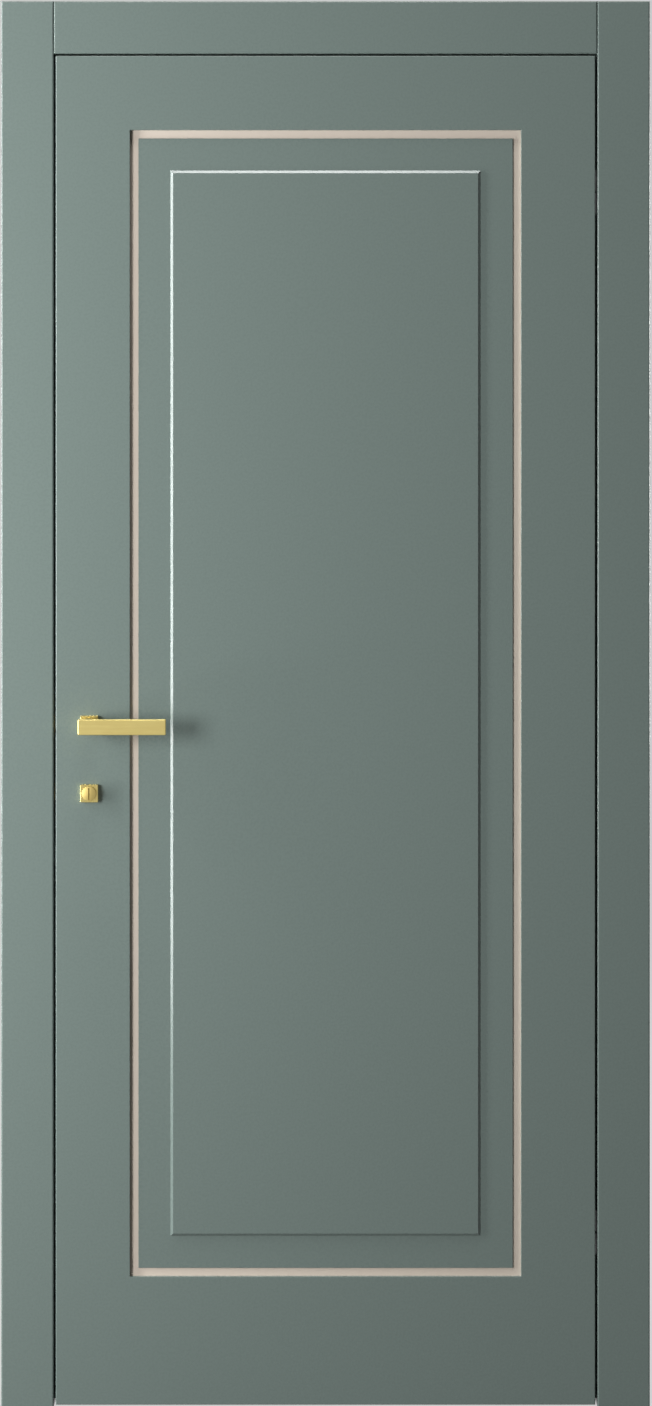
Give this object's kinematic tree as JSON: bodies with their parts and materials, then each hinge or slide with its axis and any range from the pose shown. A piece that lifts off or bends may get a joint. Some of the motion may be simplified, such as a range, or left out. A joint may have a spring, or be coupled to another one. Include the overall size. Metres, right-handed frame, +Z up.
{
  "type": "interior door",
  "caption": "Painted interior door leaf with an inlaid groove round a raised panel, brass lever and privacy lock, hung on concealed hinges in a rebated frame with casings.",
  "frame": {"origin": "on the floor, in the middle of the doorway's width, on the closed leaf's middle plane", "axes": "+X towards the hinge side, to the right as seen from the front; +Y from the front to the rear; +Z up"},
  "size_m": [0.962, 0.15, 2.084],
  "materials": {
    "enamel": "green-grey satin enamel on MDF",
    "core_timber": "planed softwood",
    "core_board": "tubular chipboard",
    "inlay": "champagne satin anodised",
    "seal": "matt black",
    "brass_handles": "satin pale brass",
    "brass_lock": "satin pale brass",
    "strike_box": "black moulding",
    "magnet": "nickel-plated magnet",
    "lock_steel": "zinc-plated steel",
    "hinge_steel": "zinc-plated steel",
    "hinge_case": "satin grey lacquered casting",
    "hinge_arm": "satin steel"
  },
  "bodies": {
    "frame": {"jamb_lock_side": "enamel", "jamb_hinge_side": "enamel", "jamb_head": "enamel", "casing_front_lock_side": "enamel", "casing_front_hinge_side": "enamel", "casing_front_head": "enamel", "casing_rear_lock_side": "enamel", "casing_rear_hinge_side": "enamel", "casing_rear_head": "enamel", "frame_seal": "seal", "strike_plate": "brass_lock", "strike_box": "strike_box", "strike_magnet": "magnet", "strike_screws": "brass_lock", "hinge_upper_frame_case": "hinge_case", "hinge_lower_frame_case": "hinge_case", "hinge_frame_pins": "hinge_steel", "hinge_frame_screws": "hinge_steel"},
    "leaf": {"leaf_face_front": "enamel", "leaf_face_rear": "enamel", "leaf_stile_lock_side": "core_timber", "leaf_stile_hinge_side": "core_timber", "leaf_rail_top": "core_timber", "leaf_rail_bottom": "core_timber", "leaf_core": "core_board", "inlay_front_left": "inlay", "inlay_front_right": "inlay", "inlay_front_top": "inlay", "inlay_front_bottom": "inlay", "inlay_rear_left": "inlay", "inlay_rear_right": "inlay", "inlay_rear_top": "inlay", "inlay_rear_bottom": "inlay", "lock_case": "lock_steel", "lock_cover": "lock_steel", "lock_forend": "brass_lock", "forend_screws": "brass_lock", "lever_rosette_front": "brass_handles", "lever_rosette_rear": "brass_handles", "turn_rosette_front": "brass_handles", "turn_rosette_rear": "brass_handles", "hinge_upper_leaf_case": "hinge_case", "hinge_lower_leaf_case": "hinge_case", "hinge_leaf_pins": "hinge_steel", "hinge_leaf_screws": "hinge_steel"},
    "lever": {"lever_front": "brass_handles", "lever_rear": "brass_handles", "lever_spindle": "lock_steel", "lock_hub": "lock_steel"},
    "privacy_turn": {"thumb_turn": "brass_handles", "coin_release": "brass_handles", "turn_spindle": "lock_steel", "bolt_cam": "lock_steel"},
    "latch": {"latch_bolt": "brass_lock"},
    "bolt": {"privacy_bolt": "brass_lock"},
    "frame_arms": {"hinge_upper_frame_arm": "hinge_arm", "hinge_lower_frame_arm": "hinge_arm"},
    "leaf_arms": {"hinge_upper_leaf_arm": "hinge_arm", "hinge_lower_leaf_arm": "hinge_arm"}
  },
  "joints": [
    {"name": "leaf_swing", "type": "hinge", "parent": "frame", "child": "leaf", "pos_m": [0.4015, -0.021, 1.003], "axis": [0, 0, 1], "range_deg": [0, 110]},
    {"name": "frame_arm_fold", "type": "hinge", "parent": "frame", "child": "frame_arms", "pos_m": [0.407, 0.005, 1.003], "axis": [0, 0, 1], "range_deg": [0, 55.1]},
    {"name": "leaf_arm_fold", "type": "hinge", "parent": "leaf", "child": "leaf_arms", "pos_m": [0.396, 0.005, 1.003], "axis": [0, 0, 1], "range_deg": [-55.1, 0]},
    {"name": "lever_press", "type": "hinge", "parent": "leaf", "child": "lever", "pos_m": [-0.35, 0, 1.012], "axis": [0, 1, 0], "range_deg": [0, 40], "stiffness_Nm_per_rad": 1.2, "springref_deg": -28.65},
    {"name": "latch_slide", "type": "slide", "parent": "leaf", "child": "latch", "axis": [-1, 0, 0], "range_m": [0, 0.01], "stiffness_N_per_m": 60, "springref_m": -0.005},
    {"name": "privacy_turn_spin", "type": "hinge", "parent": "leaf", "child": "privacy_turn", "pos_m": [-0.35, 0, 0.91], "axis": [0, -1, 0], "range_deg": [0, 90]},
    {"name": "privacy_bolt_slide", "type": "slide", "parent": "leaf", "child": "bolt", "axis": [-1, 0, 0], "range_m": [0, 0.01]}
  ],
  "couplings": [
    {"joint": "frame_arm_fold", "follows": "leaf_swing", "ratio": 0.5},
    {"joint": "leaf_arm_fold", "follows": "leaf_swing", "ratio": -0.5},
    {"joint": "privacy_bolt_slide", "follows": "privacy_turn_spin", "m_per_rad": 0.006366}
  ]
}
